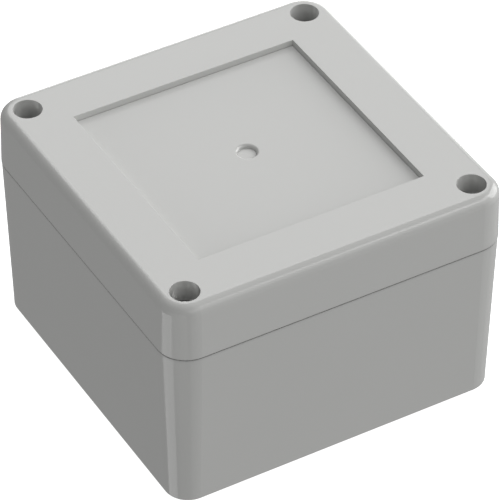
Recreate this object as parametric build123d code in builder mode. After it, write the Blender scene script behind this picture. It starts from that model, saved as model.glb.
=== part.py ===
from build123d import *
from math import radians, tan
import os

# A sealed square box of moulded plastic: a tapered base, a lid with a sunk panel in its top, a seal
# between the two, and four screws that reach through the lid into inserts in the base.
# Millimetres. The origin is the middle of the underside, +Z is up.

# Envelope
length = 90.0  # along X, at the lid's lower edge
width = 90.0  # along Y, at the lid's lower edge
height = 60.0  # underside to the lid's top
seam_height = 45.0  # underside to the base's rim, on which the lid stands
seam_gap = 0.3  # height of the shadow line around the lid's lower edge
seam_setback = 0.9  # how far the shadow line reaches in
rim_inset = 0.1  # how far the rim stands inside the lid's lower edge
corner_radius = 7.5  # upright corners, at the lid's lower edge
base_draft = 1.75  # degrees, the walls lean in towards the underside
lid_draft = 1.15  # degrees, the walls lean in towards the top
lid_edge_radius = 2.4  # rounding around the lid's top
foot_bevel = 0.4  # around the underside

# Base shell
wall = 3.0
floor = 3.0
cavity_radius = 3.0  # upright corners of the cavity

# Wall fixing: a round channel down each corner block, outside the seal
fixing_inset_x = 8.5  # from the lid's side to a hole's axis
fixing_inset_y = 18.0
fixing_hole_diameter = 4.5
channel_diameter = 8.4  # clears the head of a fixing screw
channel_wall = 2.3  # between the channel and the cavity

# Circuit board standoffs on the floor
board_spacing_x = 48.0
board_spacing_y = 62.0
standoff_diameter = 6.4
standoff_height = 5.0
pilot_diameter = 2.5  # takes a 3 mm self-tapping screw
pilot_depth = 6.0

# Board guides, upright slots between pairs of ribs on the walls across X
guide_spacing = 24.0  # from slot to slot
guide_slot = 1.8  # takes a 1.6 mm board
guide_rib = 1.2  # thickness of a rib
guide_reach = 1.5  # from the foot of the wall to a rib's edge
guide_height = 33.0

# Seal: a tongue on the rim presses a gasket in a groove under the lid
tongue_width = 1.4
tongue_height = 2.4
groove_clearance = 0.2  # on each side of the tongue
gasket_height = 2.0
gasket_clearance = 0.1  # on each side of the gasket
inner_rib = 1.6  # closes the groove on the inside

# Lid shell
lid_plate = 3.0  # around the sunk panel
panel_plate = 2.6  # under the sunk panel
core_diameter = 6.8  # pockets over the fixing channels, which keep the lid's walls even

# Sunk panel and the gate's dimple in its middle
panel_margin = 15.0  # from the lid's side to the panel's edge
panel_depth = 1.6
panel_draft = 6.0  # degrees, the low walls lean outwards
dimple_diameter = 4.4
dimple_depth = 0.9
dimple_rounding = 0.8  # around its mouth

# Lid screws, deep in their wells
screw_inset = 7.0  # from the lid's sides to a screw's axis
screw_diameter = 4.0
screw_length = 12.0  # below the head
shank_clearance = 0.25  # around the screw in the lid
seat_thickness = 6.6  # from the rim to the well's floor
well_diameter = 7.1
head_clearance = 0.3  # around the head in its well
head_height = 3.0
drive_length = 4.4  # cross recess, from tip to tip
drive_width = 1.0
drive_depth = 1.5

# Hexagonal inserts, moulded into the base's corner blocks
insert_across_flats = 6.0
insert_length = 7.0
insert_recess = 0.2  # from the rim down to the insert
insert_fit = 0.02  # around the insert in its seat
thread_clearance = 0.1  # around the screw in the insert

# Spacings
screw_spacing_x = length - 2 * screw_inset
screw_spacing_y = width - 2 * screw_inset
fixing_spacing_x = length - 2 * fixing_inset_x
fixing_spacing_y = width - 2 * fixing_inset_y

# The cavity at the rim is a rectangle less the four corner blocks, which are rounded about the channels
rim_length = length - 2 * rim_inset
rim_width = width - 2 * rim_inset
cavity_length = rim_length - 2 * wall
cavity_width = rim_width - 2 * wall
block_radius = channel_diameter / 2 + channel_wall
neck_x = fixing_spacing_x - 2 * block_radius  # between the blocks, along X
neck_y = fixing_spacing_y - 2 * block_radius  # between the blocks, along Y
cavity_taper = (seam_height - floor) * tan(radians(base_draft))
panel_length = length - 2 * panel_margin
panel_width = width - 2 * panel_margin

# Heights
lid_edge = seam_height + seam_gap
tongue_top = seam_height + tongue_height
groove_top = tongue_top + gasket_height
panel_floor = height - panel_depth
well_floor = seam_height + seat_thickness
insert_top = seam_height - insert_recess
insert_bottom = insert_top - insert_length

# Levels that the sketches stand on
rim = Plane.XY.offset(seam_height)
floor_level = Plane.XY.offset(floor)
upright_tolerance = 1e-6  # on the upward part of a face's normal


def cavity_outline(grow=0.0):
    """Outline of the cavity at the rim, moved outwards by an amount."""
    with BuildSketch() as outline:
        Rectangle(cavity_length + 2 * grow, neck_y + 2 * grow)
        Rectangle(neck_x + 2 * grow, cavity_width + 2 * grow)
        # The four corners beside the blocks are the nearest to the middle
        fillet(outline.vertices().sort_by_distance((0, 0, 0))[4:], cavity_radius + grow)
        fillet(outline.vertices().sort_by_distance((0, 0, 0))[:4], block_radius - grow)
    return outline.sketch


def upright_faces(builder, select=Select.ALL):
    """Faces that run straight up, before any draft leans them."""
    return builder.faces(select).filter_by(lambda face: abs(face.normal_at().Z) < upright_tolerance)


# Base: a tray that tapers towards its underside
with BuildPart() as base:
    with BuildSketch(rim):
        RectangleRounded(rim_length, rim_width, corner_radius - rim_inset)
    extrude(amount=-seam_height)
    draft(upright_faces(base), rim, -base_draft)
    underside = base.faces().sort_by(Axis.Z)[0]
    chamfer(underside.edges(), foot_bevel)

    # Tongue around the cavity's edge, as a plug that the cavity then hollows out
    with BuildSketch(rim):
        add(cavity_outline(tongue_width))
    extrude(amount=tongue_height)

    # Cavity, narrower at the floor by the same draft
    with BuildSketch(Plane.XY.offset(tongue_top)):
        add(cavity_outline())
    extrude(amount=floor - tongue_top, mode=Mode.SUBTRACT)
    draft(upright_faces(base, Select.LAST), rim, base_draft)

    # Wall fixing holes at the foot of their channels
    with Locations((0, 0, seam_height)):
        with GridLocations(fixing_spacing_x, fixing_spacing_y, 2, 2):
            CounterBoreHole(
                radius=fixing_hole_diameter / 2,
                counter_bore_radius=channel_diameter / 2,
                counter_bore_depth=seam_height - floor,
                depth=seam_height,
            )

    # Seats of the inserts
    with BuildSketch(rim):
        with GridLocations(screw_spacing_x, screw_spacing_y, 2, 2):
            RegularPolygon(insert_across_flats / 2 + insert_fit, 6, major_radius=False)
    extrude(amount=insert_bottom - seam_height, mode=Mode.SUBTRACT)

    # Standoffs with pilot holes
    with BuildSketch(floor_level):
        with GridLocations(board_spacing_x, board_spacing_y, 2, 2):
            Circle(standoff_diameter / 2)
    extrude(amount=standoff_height)
    with Locations((0, 0, floor + standoff_height)):
        with GridLocations(board_spacing_x, board_spacing_y, 2, 2):
            Hole(radius=pilot_diameter / 2, depth=pilot_depth)

    # Board guides, each rib buried in the wall behind it
    rib_length = guide_reach + cavity_taper
    with BuildSketch(floor_level):
        with GridLocations(cavity_length - rib_length, guide_spacing, 2, 2):
            with GridLocations(0, guide_slot + guide_rib, 1, 2):
                Rectangle(rib_length, guide_rib)
    extrude(amount=guide_height)


# Lid: a shallow cover that stands on the rim
with BuildPart() as lid:
    with BuildSketch(Plane.XY.offset(lid_edge)):
        RectangleRounded(length, width, corner_radius)
    extrude(amount=height - lid_edge)
    draft(upright_faces(lid), Plane.XY.offset(lid_edge), lid_draft)
    fillet(lid.faces().sort_by(Axis.Z)[-1].edges(), lid_edge_radius)

    # Landing, set back behind the shadow line
    with BuildSketch(rim):
        RectangleRounded(length - 2 * seam_setback, width - 2 * seam_setback, corner_radius - seam_setback)
    extrude(amount=seam_gap)

    # Sunk panel
    with BuildSketch(Plane.XY.offset(height)):
        Rectangle(panel_length, panel_width)
    extrude(amount=-panel_depth, mode=Mode.SUBTRACT)
    draft(upright_faces(lid, Select.LAST), Plane.XY.offset(height), panel_draft)

    # Hollow underneath, with the panel's plate standing lower than the rest
    with BuildSketch(rim):
        add(cavity_outline(-groove_clearance - inner_rib))
    extrude(amount=height - lid_plate - seam_height, mode=Mode.SUBTRACT)
    with BuildSketch(Plane.XY.offset(panel_floor - panel_plate)):
        Rectangle(panel_length + 2 * panel_depth, panel_width + 2 * panel_depth)
    extrude(amount=panel_plate)

    # Groove for the tongue and the gasket
    with BuildSketch(rim):
        add(cavity_outline(tongue_width + groove_clearance))
        add(cavity_outline(-groove_clearance), mode=Mode.SUBTRACT)
    extrude(amount=groove_top - seam_height, mode=Mode.SUBTRACT)

    # Pockets over the fixing channels
    with BuildSketch(rim):
        with GridLocations(fixing_spacing_x, fixing_spacing_y, 2, 2):
            Circle(core_diameter / 2)
    extrude(amount=height - lid_plate - seam_height, mode=Mode.SUBTRACT)

    # Dimple in the panel's middle, with a rounded mouth
    with Locations((0, 0, panel_floor)):
        Hole(radius=dimple_diameter / 2, depth=dimple_depth)
    dimple_mouth = lid.edges().filter_by(GeomType.CIRCLE).sort_by_distance((0, 0, panel_floor))[0]
    fillet(dimple_mouth, dimple_rounding)

    # Screw wells
    with Locations((0, 0, height)):
        with GridLocations(screw_spacing_x, screw_spacing_y, 2, 2):
            CounterBoreHole(
                radius=screw_diameter / 2 + shank_clearance,
                counter_bore_radius=well_diameter / 2,
                counter_bore_depth=height - well_floor,
                depth=height - seam_height,
            )


# Gasket: a soft ring pressed between the tongue and the groove's end
with BuildPart() as gasket:
    with BuildSketch(Plane.XY.offset(tongue_top)):
        add(cavity_outline(tongue_width + groove_clearance - gasket_clearance))
        add(cavity_outline(gasket_clearance - groove_clearance), mode=Mode.SUBTRACT)
    extrude(amount=gasket_height)


# Lid screws: a round head with a cross recess, and a shank
with BuildPart() as lid_screws:
    with BuildSketch(Plane.XY.offset(well_floor)):
        with GridLocations(screw_spacing_x, screw_spacing_y, 2, 2):
            Circle(well_diameter / 2 - head_clearance)
    extrude(amount=head_height)
    with BuildSketch(Plane.XY.offset(well_floor + head_height)):
        with GridLocations(screw_spacing_x, screw_spacing_y, 2, 2):
            Rectangle(drive_length, drive_width)
            Rectangle(drive_width, drive_length)
    extrude(amount=-drive_depth, mode=Mode.SUBTRACT)
    with BuildSketch(Plane.XY.offset(well_floor)):
        with GridLocations(screw_spacing_x, screw_spacing_y, 2, 2):
            Circle(screw_diameter / 2)
    extrude(amount=-screw_length)


# Threaded inserts: hexagonal bushes, each on the floor of its seat
with BuildPart() as threaded_inserts:
    with BuildSketch(Plane.XY.offset(insert_bottom)):
        with GridLocations(screw_spacing_x, screw_spacing_y, 2, 2):
            RegularPolygon(insert_across_flats / 2, 6, major_radius=False)
            Circle(screw_diameter / 2 + thread_clearance, mode=Mode.SUBTRACT)
    extrude(amount=insert_length)


base.part.label = "base"
lid.part.label = "lid"
gasket.part.label = "gasket"
lid_screws.part.label = "lid_screws"
threaded_inserts.part.label = "threaded_inserts"

os.makedirs("parts", exist_ok=True)
export_step(base.part, "parts/base.step")
export_step(lid.part, "parts/lid.step")
export_step(gasket.part, "parts/gasket.step")
export_step(lid_screws.part, "parts/lid_screws.step")
export_step(threaded_inserts.part, "parts/threaded_inserts.step")
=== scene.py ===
import logging
import math
from abc import ABC, abstractmethod
from dataclasses import dataclass, field
from enum import Enum
from typing import Any, Union

import bpy
import numpy as np
from mathutils import Matrix, Vector


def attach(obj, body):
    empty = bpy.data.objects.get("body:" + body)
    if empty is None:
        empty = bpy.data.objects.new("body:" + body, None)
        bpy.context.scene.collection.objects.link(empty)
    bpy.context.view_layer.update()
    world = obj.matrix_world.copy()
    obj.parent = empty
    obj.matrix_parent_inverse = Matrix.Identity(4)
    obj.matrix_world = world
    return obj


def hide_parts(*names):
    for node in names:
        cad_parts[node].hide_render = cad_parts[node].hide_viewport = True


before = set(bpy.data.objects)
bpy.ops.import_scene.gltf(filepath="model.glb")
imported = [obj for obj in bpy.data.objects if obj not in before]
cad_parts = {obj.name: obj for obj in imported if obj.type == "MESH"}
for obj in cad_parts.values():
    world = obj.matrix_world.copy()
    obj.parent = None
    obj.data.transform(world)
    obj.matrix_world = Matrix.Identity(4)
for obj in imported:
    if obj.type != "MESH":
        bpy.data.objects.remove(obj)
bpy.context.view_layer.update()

log = logging.getLogger("project_box")

MILLIMETRE = 0.001
FULL_TURN = 2 * math.pi
NOISE_MEAN = 0.5
NEARLY_ZERO = 1e-9

# Signs of X and Y in the four corners, in the order in which the fasteners are numbered.
CORNERS = ((-1, -1), (1, -1), (1, 1), (-1, 1))


class Side(Enum):
    """The two mouldings, which come from separate batches of plastic."""

    BASE = "base"
    LID = "lid"


@dataclass(frozen=True)
class Colour:
    """A linear colour.

    Args:
        red: Share of red, 0 to 1.
        green: Share of green.
        blue: Share of blue.
    """

    red: float
    green: float
    blue: float

    def scaled(self, factor: float) -> "Colour":
        """The colour made lighter or darker by one factor."""
        return Colour(self.red * factor, self.green * factor, self.blue * factor)

    def rgba(self) -> tuple[float, float, float, float]:
        """The colour as a socket takes it, opaque."""
        return (self.red, self.green, self.blue, 1.0)


WHITE = Colour(1.0, 1.0, 1.0)


class Wire:
    """A numeric output socket that takes part in Python expressions.

    Args:
        tree: The node tree under construction.
        socket: The output that carries the value.
    """

    def __init__(self, tree: "Tree", socket: bpy.types.NodeSocket) -> None:
        """Wraps the socket."""
        self.tree = tree
        self.socket = socket

    def __add__(self, other: "Value") -> "Wire":
        """The sum of the two."""
        return self.tree.maths("ADD", self, other)

    __radd__ = __add__

    def __sub__(self, other: "Value") -> "Wire":
        """This value less the other."""
        return self.tree.maths("SUBTRACT", self, other)

    def __rsub__(self, other: "Value") -> "Wire":
        """The other value less this one."""
        return self.tree.maths("SUBTRACT", other, self)

    def __mul__(self, other: "Value") -> "Wire":
        """The product of the two."""
        return self.tree.maths("MULTIPLY", self, other)

    __rmul__ = __mul__

    def __truediv__(self, other: "Value") -> "Wire":
        """This value over the other."""
        return self.tree.maths("DIVIDE", self, other)

    def __rtruediv__(self, other: "Value") -> "Wire":
        """The other value over this one."""
        return self.tree.maths("DIVIDE", other, self)

    def __pow__(self, other: "Value") -> "Wire":
        """This value to the power of the other."""
        return self.tree.maths("POWER", self, other)

    def __rpow__(self, other: "Value") -> "Wire":
        """The other value to the power of this one."""
        return self.tree.maths("POWER", other, self)

    def __abs__(self) -> "Wire":
        """The value without its sign."""
        return self.tree.maths("ABSOLUTE", self)


Value = Union[Wire, float]
Paint = Union[Colour, bpy.types.NodeSocket]


class Tree:
    """A node tree, written as expressions.

    Args:
        nodes: The tree of a material or a world, which is emptied first.
    """

    def __init__(self, nodes: bpy.types.NodeTree) -> None:
        """Empties the tree and takes it over."""
        nodes.nodes.clear()
        self.graph = nodes

    def node(
        self,
        kind: str,
        settings: dict[str, Any] | None = None,
        sockets: dict[str | int, Any] | None = None,
    ) -> bpy.types.Node:
        """Adds a node, sets its options, then fills its sockets.

        Args:
            kind: The node's type name.
            settings: Attributes to set first, such as an operation.
            sockets: For each input, by name or number, a value or a socket to link.

        Returns:
            The new node.
        """
        made = self.graph.nodes.new(kind)
        for name, value in (settings or {}).items():
            setattr(made, name, value)
        for name, value in (sockets or {}).items():
            source = value.socket if isinstance(value, Wire) else value
            if isinstance(source, bpy.types.NodeSocket):
                self.graph.links.new(source, made.inputs[name])
            else:
                made.inputs[name].default_value = source
        return made

    def maths(self, operation: str, *values: Value) -> Wire:
        """One Math node on up to three values.

        Args:
            operation: The node's operation.
            values: Its inputs in order.

        Returns:
            The result.
        """
        made = self.node("ShaderNodeMath", {"operation": operation}, dict(enumerate(values)))
        return Wire(self, made.outputs[0])

    def blend(self, share: Wire, first: Paint, second: Paint) -> bpy.types.NodeSocket:
        """A colour between two others.

        Args:
            share: 0 for the first colour, 1 for the second.
            first: One colour.
            second: The other colour.

        Returns:
            The mixed colour's socket.
        """
        ends = [paint.rgba() if isinstance(paint, Colour) else paint for paint in (first, second)]
        made = self.node(
            "ShaderNodeMix",
            {"data_type": "RGBA", "clamp_factor": True},
            {0: share, 6: ends[0], 7: ends[1]},
        )
        return made.outputs[2]

    def relief(
        self, heights: Wire, depth: float, edge_radius: Value = 0.0, samples: int = 6
    ) -> bpy.types.NodeSocket:
        """The surface's normal with a relief and, if asked, softened edges.

        Args:
            heights: Relief between 0 and 1.
            depth: Height of a full step, in metres.
            edge_radius: Rounding of the sharp edges, in metres.
            samples: Rays that find the edges.

        Returns:
            The normal's socket.
        """
        sockets: dict[str | int, Any] = {"Height": heights, "Distance": depth, "Strength": 1.0}
        if isinstance(edge_radius, Wire) or edge_radius > 0:
            softened = self.node("ShaderNodeBevel", {"samples": samples}, {"Radius": edge_radius})
            sockets["Normal"] = softened.outputs["Normal"]
        return self.node("ShaderNodeBump", sockets=sockets).outputs["Normal"]

    def surface(self, **sockets: Any) -> None:
        """Ends a material in one Principled shader.

        Args:
            sockets: The shader's inputs, named with underscores in place of spaces.
        """
        named = {name.replace("_", " "): value for name, value in sockets.items()}
        shader = self.node("ShaderNodeBsdfPrincipled", sockets=named)
        self.node("ShaderNodeOutputMaterial", sockets={"Surface": shader.outputs[0]})


class Spot:
    """The point of the surface that a material works out, in the object's own coordinates.

    Args:
        tree: The material's tree.
    """

    def __init__(self, tree: Tree) -> None:
        """Reads the point's place along the three axes, in metres.

        Args:
            tree: The material's tree.
        """
        self.tree = tree
        self.place = tree.node("ShaderNodeTexCoord").outputs["Object"]
        parts = tree.node("ShaderNodeSeparateXYZ", sockets={"Vector": self.place}).outputs
        self.x, self.y, self.z = (Wire(tree, part) for part in parts)

    def from_middle(self) -> Wire:
        """The larger of the distances from the middle along X and along Y."""
        return self.tree.maths("MAXIMUM", abs(self.x), abs(self.y))

    def from_axes(self, axis_x: float, axis_y: float) -> Wire:
        """Distance from the nearest of four upright axes, one in each quarter.

        It is the root of (|x| - axis_x) squared plus (|y| - axis_y) squared.

        Args:
            axis_x: Distance of the axes from the middle, along X, in metres.
            axis_y: The same along Y.

        Returns:
            The distance, in metres.
        """
        across, along = abs(self.x) - axis_x, abs(self.y) - axis_y
        return self.tree.maths("SQRT", across ** 2.0 + along ** 2.0)

    def noise(self, size: float, layers: float = 2.0, fineness: float = 0.55) -> Wire:
        """Smooth noise between 0 and 1.

        Args:
            size: Size of its cells, in metres.
            layers: Number of finer layers.
            fineness: Weight of each layer against the one before.

        Returns:
            The noise.
        """
        made = self.tree.node(
            "ShaderNodeTexNoise",
            {"noise_dimensions": "3D"},
            {"Vector": self.place, "Scale": 1.0 / size, "Detail": layers, "Roughness": fineness},
        )
        return Wire(self.tree, made.outputs["Fac"])


class Finish(ABC):
    """How a surface looks."""

    name: str

    def material(self) -> bpy.types.Material:
        """Makes the material.

        Returns:
            The new material, with its nodes in place.
        """
        made = bpy.data.materials.new(self.name)
        made.use_nodes = True
        self.shade(Spot(Tree(made.node_tree)))
        return made

    @abstractmethod
    def shade(self, spot: Spot) -> None:
        """Fills the material's node tree for a point of the surface."""


@dataclass(frozen=True)
class MouldedPlastic(Finish):
    """Smooth satin plastic, straight from a polished mould.

    Its colour drifts faintly where the melt flowed, and its gloss is broken by a grain too fine to
    see. The shadow in the seam is part of the colour.

    Args:
        name: The material's name.
        colour: Colour of the plastic.
        roughness: Mean roughness.
        drift_roughness: How far the roughness follows the colour's drift.
        grain_roughness: How far it follows the grain.
        refraction: Index of refraction.
        drift: How far the colour drifts either way.
        drift_size: Size of the drift's clouds, in metres.
        drift_layers: Number of finer layers in the drift.
        grain_size: Size of the surface's grain, in metres.
        grain_depth: Depth of the grain, in metres.
        edge_radius: Rounding of the moulding's sharp edges, in metres.
        seam: Height of the seam between the mouldings.
        seam_shade: Lightness in the seam, against the plastic's.
        seam_reach: Distance over which its shadow fades to about a third.
        seam_roughness: Roughness added in the seam, which keeps reflections out of it.
    """

    name: str
    colour: Colour
    roughness: float = 0.14
    drift_roughness: float = 0.05
    grain_roughness: float = 0.04
    refraction: float = 1.53
    drift: float = 0.01
    drift_size: float = 22 * MILLIMETRE
    drift_layers: float = 3.0
    grain_size: float = 0.35 * MILLIMETRE
    grain_depth: float = 0.0006 * MILLIMETRE
    edge_radius: float = 0.12 * MILLIMETRE
    seam: float = 45 * MILLIMETRE
    seam_shade: float = 0.72
    seam_reach: float = 0.25 * MILLIMETRE
    seam_roughness: float = 0.6

    def in_seam(self, spot: Spot) -> Wire:
        """Depth in the seam's shadow, exp(-distance / reach), which is 1 at the seam."""
        return spot.tree.maths("EXPONENT", -1.0 * abs(spot.z - self.seam) / self.seam_reach)

    def tint(self, spot: Spot, clouds: Wire) -> bpy.types.NodeSocket:
        """The plastic's colour, darker in the seam.

        Args:
            spot: The point of the surface.
            clouds: The drift's noise.

        Returns:
            The colour's socket.
        """
        dark, light = self.colour.scaled(1 - self.drift), self.colour.scaled(1 + self.drift)
        plain = spot.tree.blend(clouds, dark, light)
        return spot.tree.blend(self.in_seam(spot), plain, self.colour.scaled(self.seam_shade))

    def gloss(self, spot: Spot) -> Value:
        """The mean roughness, higher in the seam."""
        return self.roughness + self.seam_roughness * self.in_seam(spot)

    def rounding(self, spot: Spot) -> Value:
        """Radius of the sharp edges, the same everywhere on a plain moulding."""
        return self.edge_radius

    def shade(self, spot: Spot) -> None:
        """Fills the node tree.

        Args:
            spot: The point of the surface.
        """
        clouds = spot.noise(self.drift_size, self.drift_layers)
        grain = spot.noise(self.grain_size)
        uneven = self.drift_roughness * (clouds - NOISE_MEAN)
        grainy = self.grain_roughness * (grain - NOISE_MEAN)
        spot.tree.surface(
            Base_Color=self.tint(spot, clouds),
            Roughness=self.gloss(spot) + uneven + grainy,
            IOR=self.refraction,
            Normal=spot.tree.relief(grain, self.grain_depth, self.rounding(spot)),
        )


@dataclass(frozen=True)
class LidPlastic(MouldedPlastic):
    """The lid's plastic, whose colour also carries painted shade on the sunk panel and in the
    wells, and painted light on the panel's walls.

    The shading imitates shadows of the photograph that the studio's light leaves too weak.

    Args:
        panel_half: Half of the side of the panel's floor, in metres.
        panel_floor: Height of that floor.
        panel_level: Distance within which a height counts as the floor's.
        panel_roughness: Added roughness of the floor, which is moulded less glossy.
        lid_top: Height of the lid's top.
        edge_shadow: Strength of the shading along the floor's edges.
        edge_shade: Lightness where it is full, against the plastic's.
        edge_reach: Distance over which it fades to about a third.
        edge_least: Share of it that is there all over.
        edge_spread: Share of it that follows the colour's drift.
        wall_band: Distance from the floor's edge, either way, that holds the panel's walls.
        wall_margin: Height left out at a wall's foot and at its top.
        wall_painted_light: Painted light on the walls, as their lightness against the plastic's.
        foot_painted_shade: Painted shade along their foot, as the line's lightness.
        foot_height: Height over which the line fades to about a third.
        rim_radius: Rounding of the walls' upper edge, in metres.
        wells: How far the middles of the screw wells lie from the lid's, along X and Y.
        well_radius: Radius of a well.
        well_margin: How far outside a well's wall the shading still reaches.
        well_shade: Lightness deep in a well, against the plastic's.
        well_start: Depth at which the shading starts.
        well_end: Depth at which it is full.
        well_curve: Power of the depth that it follows.
    """

    panel_half: float = 30 * MILLIMETRE
    panel_floor: float = 58 * MILLIMETRE
    panel_level: float = 0.05 * MILLIMETRE
    panel_roughness: float = 0.05
    lid_top: float = 60 * MILLIMETRE
    edge_shadow: float = 0.32
    edge_shade: float = 0.8
    edge_reach: float = 7.0 * MILLIMETRE
    edge_least: float = 0.8
    edge_spread: float = 0.4
    wall_band: float = 0.5 * MILLIMETRE
    wall_margin: float = 0.02 * MILLIMETRE
    # Painted light: the panel's walls are made lighter in colour.
    wall_painted_light: float = 1.2
    # Painted shade: a darker line in the colour along the walls' foot.
    foot_painted_shade: float = 0.65
    foot_height: float = 0.2 * MILLIMETRE
    rim_radius: float = 0.2 * MILLIMETRE
    wells: float = 38 * MILLIMETRE
    well_radius: float = 3.5 * MILLIMETRE
    well_margin: float = 0.1 * MILLIMETRE
    well_shade: float = 0.3
    well_start: float = 0.7 * MILLIMETRE
    well_end: float = 6.2 * MILLIMETRE
    well_curve: float = 1.6

    def is_in_panel(self, spot: Spot) -> Wire:
        """1 on the floor of the sunk panel, 0 elsewhere."""
        level = spot.tree.maths("COMPARE", spot.z, self.panel_floor, self.panel_level)
        return level * spot.tree.maths("LESS_THAN", spot.from_middle(), self.panel_half)

    def is_on_wall(self, spot: Spot) -> Wire:
        """Finds the walls of the sunk panel.

        Args:
            spot: The point of the surface.

        Returns:
            1 on the walls, 0 elsewhere.
        """
        maths = spot.tree.maths
        is_near = maths("COMPARE", spot.from_middle(), self.panel_half, self.wall_band)
        above = maths("GREATER_THAN", spot.z, self.panel_floor + self.wall_margin)
        below = maths("LESS_THAN", spot.z, self.lid_top - self.wall_margin)
        return is_near * above * below

    def floor_shading(self, spot: Spot, clouds: Wire) -> Wire:
        """Strength of the shading along the edges of the panel's floor.

        It falls off as exp(-distance / reach) from each wall, and the walls along X and Y add up.

        Args:
            spot: The point of the surface.
            clouds: The drift's noise.

        Returns:
            Its share, 0 off the floor.
        """
        from_x, from_y = (
            spot.tree.maths("EXPONENT", (abs(part) - self.panel_half) / self.edge_reach)
            for part in (spot.x, spot.y)
        )
        strength = self.edge_shadow * (self.edge_least + self.edge_spread * clouds)
        return self.is_in_panel(spot) * (from_x + from_y) * strength

    def painted_wall_light_and_shade(self, spot: Spot) -> bpy.types.NodeSocket:
        """The panel's walls in painted light, with a line of painted shade along their foot.

        The line falls off as exp(-height / foot_height) above the floor.

        Args:
            spot: The point of the surface.

        Returns:
            The colour's socket.
        """
        foot = spot.tree.maths("EXPONENT", (self.panel_floor - spot.z) / self.foot_height)
        # Painted light for the walls, and painted shade for the line along their foot.
        pale, dark = self.colour.scaled(self.wall_painted_light), self.colour.scaled(self.foot_painted_shade)
        return spot.tree.blend(foot, pale, dark)

    def well_shading(self, spot: Spot) -> Wire:
        """Strength of the shading in the screw wells.

        It follows a power of the depth, counted from 0 at the start to 1 at the end.

        Args:
            spot: The point of the surface.

        Returns:
            Its share, 0 outside the wells.
        """
        maths = spot.tree.maths
        from_axis = spot.from_axes(self.wells, self.wells)
        in_well = maths("LESS_THAN", from_axis, self.well_radius + self.well_margin)
        depth = (self.lid_top - self.well_start - spot.z) / (self.well_end - self.well_start)
        return in_well * maths("MINIMUM", maths("MAXIMUM", depth, 0.0), 1.0) ** self.well_curve

    def tint(self, spot: Spot, clouds: Wire) -> bpy.types.NodeSocket:
        """The plastic's colour, with painted shade on the panel's floor and in the wells, and
        painted light on the panel's walls.

        Args:
            spot: The point of the surface.
            clouds: The drift's noise.

        Returns:
            The colour's socket.
        """
        blend, plain = spot.tree.blend, super().tint(spot, clouds)
        edged = self.colour.scaled(self.edge_shade)
        shaded = blend(self.floor_shading(spot, clouds), plain, edged)
        # Painted light on the panel's walls, with painted shade along their foot.
        walled = blend(self.is_on_wall(spot), shaded, self.painted_wall_light_and_shade(spot))
        return blend(self.well_shading(spot), walled, self.colour.scaled(self.well_shade))

    def gloss(self, spot: Spot) -> Value:
        """The mean roughness, higher in the seam and on the panel's floor."""
        return super().gloss(spot) + self.panel_roughness * self.is_in_panel(spot)

    def rounding(self, spot: Spot) -> Value:
        """Radius of the sharp edges, larger on the panel's walls."""
        return self.edge_radius + self.is_on_wall(spot) * (self.rim_radius - self.edge_radius)


@dataclass(frozen=True)
class SealRubber(Finish):
    """Matt black rubber, faintly clouded.

    Args:
        name: The material's name.
        colour: Its darkest colour.
        cloud_colour: Colour of the clouds.
        cloud_size: Size of the clouds, in metres.
        cloud_layers: Number of finer layers in the clouds.
        roughness: Mean roughness.
        cloud_roughness: How far the roughness follows the clouds.
        refraction: Index of refraction.
        grain_size: Size of the surface's grain, in metres.
        grain_depth: Depth of the grain, in metres.
        edge_radius: Rounding of the sharp edges, in metres.
    """

    name: str = "seal_rubber"
    colour: Colour = Colour(0.022, 0.022, 0.024)
    cloud_colour: Colour = Colour(0.05, 0.05, 0.05)
    cloud_size: float = 4 * MILLIMETRE
    cloud_layers: float = 4.0
    roughness: float = 0.72
    cloud_roughness: float = 0.15
    refraction: float = 1.5
    grain_size: float = 0.25 * MILLIMETRE
    grain_depth: float = 0.004 * MILLIMETRE
    edge_radius: float = 0.25 * MILLIMETRE

    def shade(self, spot: Spot) -> None:
        """Fills the node tree.

        Args:
            spot: The point of the surface.
        """
        clouds = spot.noise(self.cloud_size, self.cloud_layers)
        grain = spot.noise(self.grain_size)
        spot.tree.surface(
            Base_Color=spot.tree.blend(clouds, self.colour, self.cloud_colour),
            Roughness=self.roughness + self.cloud_roughness * (clouds - NOISE_MEAN),
            IOR=self.refraction,
            Normal=spot.tree.relief(grain, self.grain_depth, self.edge_radius),
        )


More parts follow.
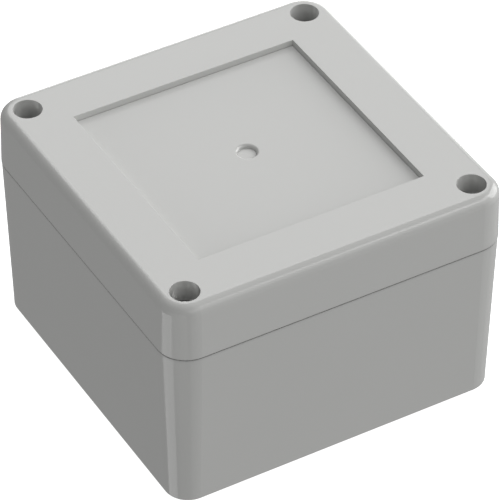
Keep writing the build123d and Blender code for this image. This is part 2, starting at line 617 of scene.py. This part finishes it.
@dataclass(frozen=True)
class TurnedMetal(Finish):
    """Bright metal with fine rings left by turning, around each of four upright axes.

    The rings follow the sine of the distance from the axis, plus a share of the height, so that
    they also run along the sides.

    Args:
        name: The material's name.
        colour: Colour of the metal.
        axis_x: Distance of the axes from the middle, along X, in metres.
        axis_y: The same along Y.
        roughness: Mean roughness.
        ring_pitch: From ring to ring, in metres.
        ring_depth: Depth of a ring, in metres.
        ring_lean: Share of the height that counts as distance.
        ring_roughness: How far the roughness follows the rings.
        wander: How far the rings stray, in radians of their sine.
        wander_size: Size of that noise's cells, in metres.
        wander_layers: Number of its finer layers.
        cloud_size: Size of the clouds in the colour, in metres.
        cloud_layers: Number of finer layers in them.
        cloud_dark: Lightness of the darkest cloud, against the colour's.
        cloud_light: Lightness of the lightest.
        cloud_roughness: How far the roughness follows the clouds.
    """

    name: str
    colour: Colour
    axis_x: float
    axis_y: float
    roughness: float = 0.28
    ring_pitch: float = 0.11 * MILLIMETRE
    ring_depth: float = 0.0012 * MILLIMETRE
    ring_lean: float = 0.7
    ring_roughness: float = 0.05
    wander: float = 5.0
    wander_size: float = 0.5 * MILLIMETRE
    wander_layers: float = 3.0
    cloud_size: float = 1.6 * MILLIMETRE
    cloud_layers: float = 4.0
    cloud_dark: float = 0.86
    cloud_light: float = 1.06
    cloud_roughness: float = 0.1

    def shade(self, spot: Spot) -> None:
        """Fills the node tree.

        Args:
            spot: The point of the surface.
        """
        from_axis = spot.from_axes(self.axis_x, self.axis_y)
        turns = (from_axis + self.ring_lean * spot.z) * (FULL_TURN / self.ring_pitch)
        stray = self.wander * spot.noise(self.wander_size, self.wander_layers)
        rings = 0.5 + 0.5 * spot.tree.maths("SINE", turns + stray)
        clouds = spot.noise(self.cloud_size, self.cloud_layers)
        dark, light = self.colour.scaled(self.cloud_dark), self.colour.scaled(self.cloud_light)
        clouded = self.cloud_roughness * (clouds - NOISE_MEAN)
        ringed = self.ring_roughness * (rings - NOISE_MEAN)
        spot.tree.surface(
            Base_Color=spot.tree.blend(clouds, dark, light),
            Metallic=1.0,
            Roughness=self.roughness + clouded + ringed,
            Normal=spot.tree.relief(rings, self.ring_depth),
        )


@dataclass(frozen=True)
class Ring:
    """One ring of a shape that is worked out around an upright axis.

    Args:
        radius: Distance from the axis at each angle, in metres.
        height: Height of the ring at each angle, in metres.
    """

    radius: np.ndarray
    height: np.ndarray


@dataclass
class RingShape:
    """A closed surface made of rings around an upright axis.

    Args:
        steps: Points around each ring.
        sharp_angle: Angle above which an edge stays sharp, in degrees.
        rings: The rings in order, from the foot of the shape up its outside.
    """

    steps: int = 96
    sharp_angle: float = 32.0
    rings: list[Ring] = field(default_factory=list)

    @property
    def angles(self) -> np.ndarray:
        """Angles of the points around a ring, in radians."""
        return np.arange(self.steps) * (FULL_TURN / self.steps)

    def add(self, radius: Union[float, np.ndarray], height: float) -> None:
        """Adds one level ring, with one radius or one for each angle."""
        full = np.ones(self.steps)
        self.rings.append(Ring(full * radius, full * height))

    def add_arc(
        self, centre: tuple[float, float], radius: float, start: float, end: float, count: int
    ) -> None:
        """Adds rings along an arc of the section.

        The arc's point at angle a lies at centre + radius * (cos a, sin a), in distance from the
        axis and in height.

        Args:
            centre: The arc's centre, as distance from the axis and height.
            radius: Its radius.
            start: Its first angle, in degrees.
            end: Its last angle, in degrees.
            count: Number of rings.
        """
        for angle in np.radians(np.linspace(start, end, count)):
            self.add(centre[0] + radius * math.cos(angle), centre[1] + radius * math.sin(angle))

    def build(self, name: str, centre: tuple[float, float], is_loop: bool) -> bpy.types.Object:
        """Turns the rings into a mesh.

        Each point stands at centre + radius * (cos a, sin a) and at its height. Neighbouring rings
        are joined by quads. A loop joins its last ring to its first, and any other shape is closed
        by a fan of triangles around a pole at each end.

        Args:
            name: Name of the new object.
            centre: Place of the axis.
            is_loop: True for a shape with a hole down its axis.

        Returns:
            The object, linked to the scene.
        """
        radius = np.array([ring.radius for ring in self.rings])
        height = np.array([ring.height for ring in self.rings])
        x = centre[0] + radius * np.cos(self.angles)
        y = centre[1] + radius * np.sin(self.angles)
        points = np.stack([x, y, height], axis=-1).reshape(-1, 3)

        count = len(self.rings)
        index = np.arange(count * self.steps).reshape(count, self.steps)
        lower = index if is_loop else index[:-1]
        upper = np.roll(index, -1, axis=0) if is_loop else index[1:]
        corners = [lower, np.roll(lower, -1, axis=1), np.roll(upper, -1, axis=1), upper]
        faces = np.stack(corners, axis=-1).reshape(-1, 4).tolist()
        if not is_loop:
            poles = [[*centre, height[0].mean()], [*centre, height[-1].mean()]]
            foot, head = np.full(self.steps, len(points)), np.full(self.steps, len(points) + 1)
            points = np.concatenate([points, poles])
            first, last = index[0], index[-1]
            faces += np.stack([foot, np.roll(first, -1), first], axis=-1).tolist()
            faces += np.stack([head, last, np.roll(last, -1)], axis=-1).tolist()

        mesh = bpy.data.meshes.new(name)
        mesh.from_pydata(points.tolist(), [], faces)
        mesh.polygons.foreach_set("use_smooth", np.ones(len(faces), dtype=bool))
        mesh.set_sharp_from_angle(angle=math.radians(self.sharp_angle))
        mesh.update()
        made = bpy.data.objects.new(name, mesh)
        bpy.context.scene.collection.objects.link(made)
        return made


@dataclass(frozen=True)
class Thread:
    """A right-handed screw thread around an upright axis.

    Args:
        root: Radius at the bottom of the thread, in metres.
        crest: Radius at its top, in metres.
        rings_per_turn: Rings of the mesh in one turn.
        pitch: Rise of one turn, in metres.
        root_flat: Share of half a turn that is flat at the root.
        flank: Share of half a turn that the flank takes.
    """

    root: float
    crest: float
    rings_per_turn: int
    pitch: float = 0.7 * MILLIMETRE
    root_flat: float = 0.2
    flank: float = 0.65

    def heights(self, start: float, end: float) -> np.ndarray:
        """Heights of the rings between two ends, which are included."""
        count = int(abs(end - start) / self.pitch * self.rings_per_turn)
        return np.linspace(start, end, count)

    def radius(self, angles: np.ndarray, height: float) -> np.ndarray:
        """Radius of the thread at one height.

        The turn is height / pitch - angle / (2 pi), less its whole part. Across one turn the
        section climbs from the root to the crest and back in straight flanks, with a flat at each
        end.

        Args:
            angles: Angles around the axis, in radians.
            height: Height along the axis, in metres.

        Returns:
            The radius at each angle, in metres.
        """
        turn = np.mod(height / self.pitch - angles / FULL_TURN, 1.0)
        way = 1.0 - np.abs(2.0 * turn - 1.0)
        share = np.clip((way - self.root_flat) / self.flank, 0.0, 1.0)
        return self.root + (self.crest - self.root) * share


def node_corner(name: str) -> np.ndarray:
    """Points of a CAD node in the quarter where X and Y are positive.

    Args:
        name: The node.

    Returns:
        The points, one row each, in metres.
    """
    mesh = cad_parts[name].data
    points = np.empty(len(mesh.vertices) * 3, dtype=np.float32)
    mesh.vertices.foreach_get("co", points)
    points = points.reshape(-1, 3)
    return points[(points[:, 0] > 0) & (points[:, 1] > 0)]


def dress(name: str, finish: Finish) -> None:
    """Gives a CAD node its finish.

    Args:
        name: The node.
        finish: Its finish.
    """
    material = finish.material()
    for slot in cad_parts[name].material_slots:
        slot.material = material
    log.info("dressed %s as %s", name, finish.name)


@dataclass
class Housing:
    """The two mouldings.

    Args:
        colour: Colour of the plastic.
        lid_shade: How much lighter the lid's batch came out.
        panel_search: Distance from the middle within which the panel's floor is the highest face.
        head_clearance: From a screw's head to the wall of its well.
        level: Distance within which two points count as level.
    """

    colour: Colour = Colour(0.574, 0.577, 0.563)
    lid_shade: float = 1.022
    panel_search: float = 20 * MILLIMETRE
    head_clearance: float = 0.3 * MILLIMETRE
    level: float = 0.001 * MILLIMETRE

    def seam(self) -> float:
        """Measures the height of the seam, where the base's outermost points end.

        Returns:
            The height, in metres.
        """
        base = node_corner("base")
        outermost = base[base[:, 0] > base[:, 0].max() - self.level]
        return float(outermost[:, 2].max())

    def sunk_panel(self) -> tuple[float, float, float]:
        """Measures the floor of the lid's sunk panel.

        Returns:
            Half of its side, its height and the height of the lid's top, in metres.
        """
        points = node_corner("lid")
        floor = points[points[:, :2].max(axis=1) < self.panel_search, 2].max()
        level = np.isclose(points[:, 2], floor, rtol=0.0, atol=self.level)
        return float(points[level, 0].max()), float(floor), float(points[:, 2].max())

    def screw_well(self) -> tuple[float, float]:
        """Measures a screw well, from the screw that stands in it.

        Returns:
            Place of its axis along X and Y, and its radius, in metres.
        """
        screw = node_corner("lid_screws")
        low, high = screw.min(axis=0), screw.max(axis=0)
        return float(high[0] + low[0]) / 2, float(high[0] - low[0]) / 2 + self.head_clearance

    def finish(self, side: Side) -> MouldedPlastic:
        """The plastic of one moulding.

        Args:
            side: Which moulding.

        Returns:
            Its finish.
        """
        if side is Side.BASE:
            return MouldedPlastic("base_plastic", self.colour, seam=self.seam())
        half, floor, top = self.sunk_panel()
        axis, radius = self.screw_well()
        return LidPlastic(
            "lid_plastic",
            self.colour.scaled(self.lid_shade),
            seam=self.seam(),
            panel_half=half,
            panel_floor=floor,
            lid_top=top,
            wells=axis,
            well_radius=radius,
        )

    def build(self) -> None:
        """Dresses both mouldings.

        The lid is left out of reflections, so that the low walls around its sunk panel aren't
        mirrored in the panel's floor.
        """
        for side in Side:
            dress(side.value, self.finish(side))
        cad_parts[Side.LID.value].visible_glossy = False


@dataclass
class Seal:
    """The gasket in the lid's groove.

    Args:
        finish: Its rubber.
    """

    finish: SealRubber = field(default_factory=SealRubber)

    def build(self) -> None:
        """Dresses the gasket."""
        dress("gasket", self.finish)


@dataclass
class LidScrews:
    """The four screws in the lid's wells, with a cross recess and a rolled thread.

    Args:
        colour: Colour of the steel.
        head_rounding: Rounding of the head's upper edge, in metres.
        head_bevel: Bevel of its lower edge.
        head_rings: Rings along the rounding.
        head_rim: Share of the head's radius beyond which the points are those of its rim.
        drive_length: The recess from tip to tip, at its mouth.
        drive_width: Width of its slots, at their mouth.
        drive_depth: Depth of the recess.
        drive_taper: Share of the mouth's size that is left at the recess's floor.
        lip_depth: Depth of the lip at the mouth.
        lip_taper: Share of the mouth's size that is left below the lip.
        thread: The thread.
        plain_shank: Length below the head that has no thread.
        plain_share: Radius of that length against the crest's.
        run_out: Height over which the thread runs out into it.
        tip_length: Length of the tapered tip.
        tip_share: Radius of the tip's end against the root's.
    """

    colour: Colour = Colour(0.60, 0.60, 0.59)
    head_rounding: float = 0.7 * MILLIMETRE
    head_bevel: float = 0.12 * MILLIMETRE
    head_rings: int = 9
    head_rim: float = 0.95
    drive_length: float = 4.4 * MILLIMETRE
    drive_width: float = 1.0 * MILLIMETRE
    drive_depth: float = 1.5 * MILLIMETRE
    drive_taper: float = 0.6
    lip_depth: float = 0.08 * MILLIMETRE
    lip_taper: float = 0.96
    thread: Thread = Thread(root=1.6 * MILLIMETRE, crest=2.0 * MILLIMETRE, rings_per_turn=14)
    plain_shank: float = 0.9 * MILLIMETRE
    plain_share: float = 0.97
    run_out: float = 0.15 * MILLIMETRE
    tip_length: float = 0.7 * MILLIMETRE
    tip_share: float = 0.55

    def recess_radius(self, angles: np.ndarray, share: float) -> np.ndarray:
        """Outline of the cross recess as a distance from the axis.

        A box of half sizes a and b is reached at the smaller of a / |cos| and b / |sin|. The cross
        is the larger of the two boxes that lie across each other.

        Args:
            angles: Angles around the axis, in radians.
            share: Size of the outline against the mouth's.

        Returns:
            The distance at each angle, in metres.
        """
        across = np.maximum(np.abs(np.cos(angles)), NEARLY_ZERO)
        along = np.maximum(np.abs(np.sin(angles)), NEARLY_ZERO)
        long_half = self.drive_length / 2 * share
        short_half = self.drive_width / 2 * share
        level_bar = np.minimum(long_half / across, short_half / along)
        upright_bar = np.minimum(short_half / across, long_half / along)
        return np.maximum(level_bar, upright_bar)

    def add_shank(self, shape: RingShape, tip: float, seat: float) -> None:
        """Adds the shank from its tip up to the head's underside.

        In the tip the thread is cut off by a cone that widens evenly from the root to the crest.

        Args:
            shape: The screw's rings so far.
            tip: Height of the screw's tip.
            seat: Height of the head's underside.
        """
        thread = self.thread
        thread_end = seat - self.plain_shank
        shape.add(thread.root * self.tip_share, tip)
        for height in thread.heights(tip, thread_end)[1:-1]:
            cone = thread.root + (thread.crest - thread.root) * (height - tip) / self.tip_length
            shape.add(np.minimum(thread.radius(shape.angles, height), cone), height)
        shape.add(thread.root, thread_end)
        shape.add(thread.crest * self.plain_share, thread_end + self.run_out)
        shape.add(thread.crest * self.plain_share, seat)

    def add_head(self, shape: RingShape, radius: float, seat: float, top: float) -> None:
        """Adds the head and its recess, down to the recess's floor.

        Args:
            shape: The screw's rings so far.
            radius: Radius of the head, in metres.
            seat: Height of the head's underside.
            top: Height of the head's top.
        """
        shape.add(radius - self.head_bevel, seat)
        shape.add(radius, seat + self.head_bevel)
        centre = (radius - self.head_rounding, top - self.head_rounding)
        shape.add_arc(centre, self.head_rounding, 0, 90, self.head_rings)
        mouth = self.recess_radius(shape.angles, 1.0)
        shape.add(mouth, top)
        shape.add(mouth * self.lip_taper, top - self.lip_depth)
        shape.add(self.recess_radius(shape.angles, self.drive_taper), top - self.drive_depth)

    def build(self) -> None:
        """Builds the four screws where the CAD node has them."""
        corner = node_corner("lid_screws")
        low, high = corner.min(axis=0), corner.max(axis=0)
        axis = (low + high)[:2] / 2
        axis_x, axis_y = float(axis[0]), float(axis[1])
        head_radius = float(high[0] - low[0]) / 2
        rim = corner[np.hypot(*(corner[:, :2] - axis).T) > self.head_rim * head_radius]
        seat = float(rim[:, 2].min())
        shape = RingShape()
        self.add_shank(shape, float(low[2]), seat)
        self.add_head(shape, head_radius, seat, float(high[2]))
        material = TurnedMetal("screw_steel", self.colour, axis_x, axis_y).material()
        for number, (side_x, side_y) in enumerate(CORNERS, start=1):
            name = f"lid_screw_{number}"
            screw = shape.build(name, (axis_x * side_x, axis_y * side_y), is_loop=False)
            screw.data.materials.append(material)
            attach(screw, "box_lid")
            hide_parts("lid_screws")
            log.info("built %s with %d faces", name, len(screw.data.polygons))


@dataclass
class ThreadedInserts:
    """The four hexagonal bushes in the base's corner blocks, tapped right through.

    Args:
        colour: Colour of the brass.
        roughness: Its mean roughness.
        end_bevel: Length of the bevel of the outer corners, at both ends, in metres.
        end_share: Radius of the bevelled ends against half the distance across the flats.
        mouth_bevel: Bevel at the mouth of the thread.
        thread: The thread, whose crest clears the screw's.
    """

    colour: Colour = Colour(0.78, 0.57, 0.27)
    roughness: float = 0.3
    end_bevel: float = 0.35 * MILLIMETRE
    end_share: float = 1.02
    mouth_bevel: float = 0.4 * MILLIMETRE
    thread: Thread = Thread(root=2.4 * MILLIMETRE, crest=2.1 * MILLIMETRE, rings_per_turn=12)

    def shape(self, half_flats: float, bottom: float, top: float) -> RingShape:
        """Section of one bush, up its outside and down its bore.

        The hexagon is reached at half_flats / cos(a), where a is the angle from the middle of the
        nearest flat.

        Args:
            half_flats: Half the distance across the flats, in metres.
            bottom: Height of its lower end.
            top: Height of its upper end.

        Returns:
            The rings.
        """
        shape, thread = RingShape(), self.thread
        sixth = FULL_TURN / 6
        hexagon = half_flats / np.cos(np.mod(shape.angles, sixth) - sixth / 2)
        bevelled = np.minimum(hexagon, half_flats * self.end_share)
        shape.add(bevelled, bottom)
        shape.add(hexagon, bottom + self.end_bevel)
        shape.add(hexagon, top - self.end_bevel)
        shape.add(bevelled, top)
        shape.add(thread.root, top)
        for height in thread.heights(top - self.mouth_bevel, bottom + self.mouth_bevel):
            shape.add(thread.radius(shape.angles, height), height)
        shape.add(thread.root, bottom)
        return shape

    def build(self) -> None:
        """Builds the four bushes where the CAD node has them."""
        corner = node_corner("threaded_inserts")
        low, high = corner.min(axis=0), corner.max(axis=0)
        axis = (low + high)[:2] / 2
        axis_x, axis_y = float(axis[0]), float(axis[1])
        brass = TurnedMetal("insert_brass", self.colour, axis_x, axis_y, self.roughness)
        material = brass.material()
        shape = self.shape(float(high[1] - low[1]) / 2, float(low[2]), float(high[2]))
        for number, (side_x, side_y) in enumerate(CORNERS, start=1):
            name = f"threaded_insert_{number}"
            bush = shape.build(name, (axis_x * side_x, axis_y * side_y), is_loop=True)
            bush.data.materials.append(material)
            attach(bush, "box_base")
            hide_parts("threaded_inserts")
            log.info("built %s with %d faces", name, len(bush.data.polygons))


@dataclass(frozen=True)
class SoftBox:
    """A large square light that faces the object from afar.

    Args:
        name: Its name.
        azimuth: Direction of its middle, in degrees from +X towards +Y.
        elevation: Degrees above the floor, or below it where negative.
        half_width: From its middle to its upright edges, in degrees.
        half_height: From its middle to its level edges, in degrees.
        strength: Its brightness.
        is_reflected_only: True for a light that shows in glossy surfaces and lights nothing else.
        distance: From the origin, in metres.
    """

    name: str
    azimuth: float
    elevation: float
    half_width: float
    half_height: float
    strength: float
    is_reflected_only: bool = False
    distance: float = 2.0

    def build(self) -> None:
        """Makes the light, turned so that it faces the origin."""
        turn, lift = math.radians(self.azimuth), math.radians(self.elevation)
        level = math.cos(lift)
        ahead = Vector((level * math.cos(turn), level * math.sin(turn), math.sin(lift)))
        across = Vector((-math.sin(turn), math.cos(turn), 0.0))
        turned = Matrix((across, ahead.cross(across), ahead)).transposed().to_4x4()

        lamp = bpy.data.lights.new(self.name, "AREA")
        lamp.shape = "RECTANGLE"
        lamp.size = 2 * self.distance * math.tan(math.radians(self.half_width))
        lamp.size_y = 2 * self.distance * math.tan(math.radians(self.half_height))
        lamp.energy = self.strength * math.pi * lamp.size * lamp.size_y
        made = bpy.data.objects.new(self.name, lamp)
        made.matrix_world = Matrix.Translation(ahead * self.distance) @ turned
        made.visible_camera = False
        made.visible_diffuse = not self.is_reflected_only
        bpy.context.scene.collection.objects.link(made)
        log.info("set %s at %.0f, %.0f degrees", self.name, self.azimuth, self.elevation)


@dataclass
class Studio:
    """Floor and light.

    Args:
        ambient: Brightness of the plain surroundings.
        boxes: The soft boxes around the object.
        key_azimuth: Direction of the main light, in degrees from +X towards +Y.
        key_elevation: Degrees above the floor.
        key_strength: Strength of the main light.
        key_width: Angle that the main light fills, in degrees.
        floor_size: Side of the floor, in metres.
        floor_drop: How far the floor lies below the box, so that the two don't coincide.
        floor_colour: Colour of the floor.
        floor_glow: Light that the floor gives off, which keeps it pale.
    """

    ambient: float = 0.35
    boxes: tuple[SoftBox, ...] = (
        SoftBox(
            name="front_box", azimuth=285, elevation=38,
            half_width=30, half_height=15, strength=0.73,
        ),
        SoftBox(
            name="back_box", azimuth=68, elevation=40,
            half_width=17, half_height=9, strength=2.05,
        ),
        SoftBox(
            name="front_bounce", azimuth=294.5, elevation=-35,
            half_width=27.5, half_height=25, strength=0.235,
        ),
        SoftBox(
            name="left_bounce", azimuth=215, elevation=-20,
            half_width=25, half_height=25, strength=0.25,
        ),
        SoftBox(
            name="low_glint", azimuth=170.2, elevation=-40,
            half_width=15.8, half_height=11, strength=1.04, is_reflected_only=True,
        ),
        SoftBox(
            name="streak_glint", azimuth=-28, elevation=51,
            half_width=18, half_height=8, strength=2.6, is_reflected_only=True,
        ),
        SoftBox(
            name="backdrop_glint", azimuth=56, elevation=-13,
            half_width=17, half_height=19, strength=2.0, is_reflected_only=True,
        ),
        SoftBox(
            name="horizon_glint", azimuth=56, elevation=17,
            half_width=17, half_height=11, strength=1.1, is_reflected_only=True,
        ),
    )
    key_azimuth: float = 1.0
    key_elevation: float = 24.0
    key_strength: float = 2.1
    key_width: float = 50.0
    floor_size: float = 12.0
    floor_drop: float = 0.05 * MILLIMETRE
    floor_colour: Colour = Colour(0.9, 0.9, 0.9)
    floor_glow: float = 0.85

    def build_world(self) -> None:
        """Fills the surroundings with plain light."""
        world = bpy.data.worlds.new("surroundings")
        world.use_nodes = True
        bpy.context.scene.world = world
        tree = Tree(world.node_tree)
        background = tree.node(
            "ShaderNodeBackground", sockets={"Color": WHITE.rgba(), "Strength": self.ambient}
        )
        tree.node("ShaderNodeOutputWorld", sockets={"Surface": background.outputs[0]})

    def build_key(self) -> None:
        """Makes the main light, which comes from far away and fills a wide angle."""
        lamp = bpy.data.lights.new("key_light", "SUN")
        lamp.energy = self.key_strength
        lamp.angle = math.radians(self.key_width)
        made = bpy.data.objects.new("key_light", lamp)
        tilt, turn = math.radians(90 - self.key_elevation), math.radians(self.key_azimuth)
        made.rotation_euler = (0, tilt, turn)
        bpy.context.scene.collection.objects.link(made)

    def build_floor(self) -> None:
        """Lays the pale floor, a flat square that lights nothing but is seen."""
        half = self.floor_size / 2
        mesh = bpy.data.meshes.new("floor")
        points = [(half * x, half * y, -self.floor_drop) for x, y in CORNERS]
        mesh.from_pydata(points, [], [(0, 1, 2, 3)])
        floor = bpy.data.objects.new("floor", mesh)
        bpy.context.scene.collection.objects.link(floor)
        material = bpy.data.materials.new("pale_floor")
        material.use_nodes = True
        Tree(material.node_tree).surface(
            Base_Color=self.floor_colour.rgba(),
            Roughness=1.0,
            Emission_Color=WHITE.rgba(),
            Emission_Strength=self.floor_glow,
        )
        mesh.materials.append(material)
        floor.visible_diffuse = False
        floor.visible_glossy = False
        floor.visible_shadow = False

    def build(self) -> None:
        """Builds all but the camera."""
        bpy.context.scene.view_settings.view_transform = "Standard"
        self.build_world()
        self.build_key()
        for box in self.boxes:
            box.build()
        self.build_floor()
        log.info("built the studio")


@dataclass
class Viewpoint:
    """The camera at the photograph's angle.

    Args:
        azimuth: Degrees, 0 looks along +Y.
        elevation: Degrees above the floor.
        distance: From the camera to the point it looks at, in metres.
        aim_right: That point's place across the view, from the origin.
        aim_up: That point's place up the view, from the origin.
        lens: Focal length, in millimetres.
    """

    azimuth: float = -29.943
    elevation: float = 40.264
    distance: float = 0.9863
    aim_right: float = 0.568 * MILLIMETRE
    aim_up: float = 21.511 * MILLIMETRE
    lens: float = 291.7

    def build(self) -> None:
        """Makes the camera and hands it to the scene."""
        turn, lift = math.radians(self.azimuth), math.radians(self.elevation)
        level = math.cos(lift)
        back = Vector((math.sin(turn) * level, -math.cos(turn) * level, math.sin(lift)))
        right = Vector((math.cos(turn), math.sin(turn), 0.0))
        up = back.cross(right)
        data = bpy.data.cameras.new("camera")
        data.lens = self.lens
        camera = bpy.data.objects.new("camera", data)
        place = right * self.aim_right + up * self.aim_up + back * self.distance
        turned = Matrix((right, up, back)).transposed().to_4x4()
        camera.matrix_world = Matrix.Translation(place) @ turned
        bpy.context.scene.collection.objects.link(camera)
        bpy.context.scene.camera = camera
        log.info("set the camera %.3f m away", self.distance)


def main() -> None:
    """Builds the scene in order."""
    logging.basicConfig(level=logging.INFO, format="%(message)s")
    Viewpoint().build()
    Studio().build()
    Housing().build()
    Seal().build()
    LidScrews().build()
    ThreadedInserts().build()


if __name__ == "__main__":
    main()
